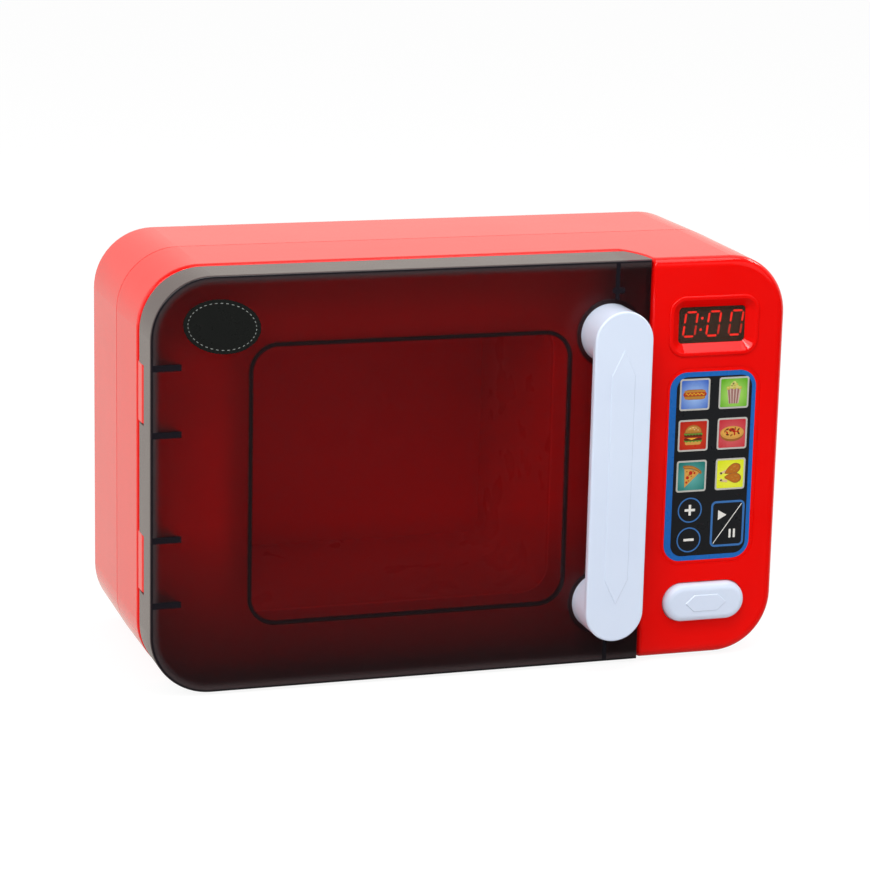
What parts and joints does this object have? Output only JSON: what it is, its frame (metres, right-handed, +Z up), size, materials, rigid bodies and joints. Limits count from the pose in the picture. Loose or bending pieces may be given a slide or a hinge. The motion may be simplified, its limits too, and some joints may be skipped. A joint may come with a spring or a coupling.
{
  "type": "toy oven",
  "caption": "Toy microwave oven with a smoked hinged door and bar handle, a push button that turns the door catch, a display window, a picture keypad and an open oven chamber.",
  "frame": {"origin": "centre of the toy's bounding box on the surface that its feet stand on", "axes": "+X to the toy's right as seen from the front, +Y towards its back, +Z up"},
  "size_m": [0.292, 0.1406, 0.1864],
  "materials": {
    "case_red": "glossy moulded red",
    "oven_red": "glossy moulded red",
    "smoked_plastic": "smoked translucent, clearer in the window",
    "white_plastic": "glossy moulded white",
    "badge": "printed sticker",
    "smoked_lens": "smoked transparent",
    "keypad_film": "printed film",
    "black_plastic": "moulded",
    "natural_plastic": "moulded",
    "board": "printed circuit board",
    "steel": "plated"
  },
  "bodies": {
    "casing": {"front_shell": "case_red", "rear_shell": "case_red", "oven_chamber": "oven_red", "main_board": "board", "display_module": "black_plastic", "display_lens": "smoked_lens", "keypad_film": "keypad_film", "key_switches": "black_plastic", "speaker": "black_plastic", "battery_cover": "case_red", "battery_cover_screw": "steel", "battery_plates": "steel", "battery_springs": "steel", "case_screws": "steel", "oven_screws": "steel", "board_screws": "steel", "bracket_screws": "steel", "speaker_screws": "steel", "latch_bracket": "black_plastic", "latch_pin": "steel", "button_spring": "steel"},
    "door": {"door_panel": "smoked_plastic", "door_handle": "white_plastic", "handle_screws": "steel", "door_badge": "badge", "hinge_pin_lower": "steel", "hinge_pin_upper": "steel"},
    "release_button": {"release_button": "white_plastic"},
    "latch_lever": {"latch_lever": "natural_plastic"},
    "key_sausage": {"key_sausage": "natural_plastic"},
    "key_popcorn": {"key_popcorn": "natural_plastic"},
    "key_burger": {"key_burger": "natural_plastic"},
    "key_pie": {"key_pie": "natural_plastic"},
    "key_pizza": {"key_pizza": "natural_plastic"},
    "key_chicken": {"key_chicken": "natural_plastic"},
    "key_plus": {"key_plus": "natural_plastic"},
    "key_minus": {"key_minus": "natural_plastic"},
    "key_play": {"key_play": "natural_plastic"}
  },
  "joints": [
    {"name": "door_hinge", "type": "hinge", "parent": "casing", "child": "door", "pos_m": [-0.141, -0.03395, 0.09455], "axis": [0, 0, -1], "range_deg": [0, 100]},
    {"name": "button_press", "type": "slide", "parent": "casing", "child": "release_button", "axis": [0, 1, 0], "range_m": [0, 0.0035], "stiffness_N_per_m": 300, "deforming": ["button_spring"]},
    {"name": "latch_turn", "type": "hinge", "parent": "casing", "child": "latch_lever", "pos_m": [0.0835, -0.01035, 0.0271], "axis": [0, 0, 1], "range_deg": [0, 7.5]},
    {"name": "press_sausage", "type": "slide", "parent": "casing", "child": "key_sausage", "axis": [0, 1, 0], "range_m": [0, 0.0006], "stiffness_N_per_m": 500},
    {"name": "press_popcorn", "type": "slide", "parent": "casing", "child": "key_popcorn", "axis": [0, 1, 0], "range_m": [0, 0.0006], "stiffness_N_per_m": 500},
    {"name": "press_burger", "type": "slide", "parent": "casing", "child": "key_burger", "axis": [0, 1, 0], "range_m": [0, 0.0006], "stiffness_N_per_m": 500},
    {"name": "press_pie", "type": "slide", "parent": "casing", "child": "key_pie", "axis": [0, 1, 0], "range_m": [0, 0.0006], "stiffness_N_per_m": 500},
    {"name": "press_pizza", "type": "slide", "parent": "casing", "child": "key_pizza", "axis": [0, 1, 0], "range_m": [0, 0.0006], "stiffness_N_per_m": 500},
    {"name": "press_chicken", "type": "slide", "parent": "casing", "child": "key_chicken", "axis": [0, 1, 0], "range_m": [0, 0.0006], "stiffness_N_per_m": 500},
    {"name": "press_plus", "type": "slide", "parent": "casing", "child": "key_plus", "axis": [0, 1, 0], "range_m": [0, 0.0006], "stiffness_N_per_m": 500},
    {"name": "press_minus", "type": "slide", "parent": "casing", "child": "key_minus", "axis": [0, 1, 0], "range_m": [0, 0.0006], "stiffness_N_per_m": 500},
    {"name": "press_play", "type": "slide", "parent": "casing", "child": "key_play", "axis": [0, 1, 0], "range_m": [0, 0.0006], "stiffness_N_per_m": 500}
  ],
  "couplings": [
    {"joint": "latch_turn", "follows": "button_press", "rad_per_m": 36.496}
  ]
}
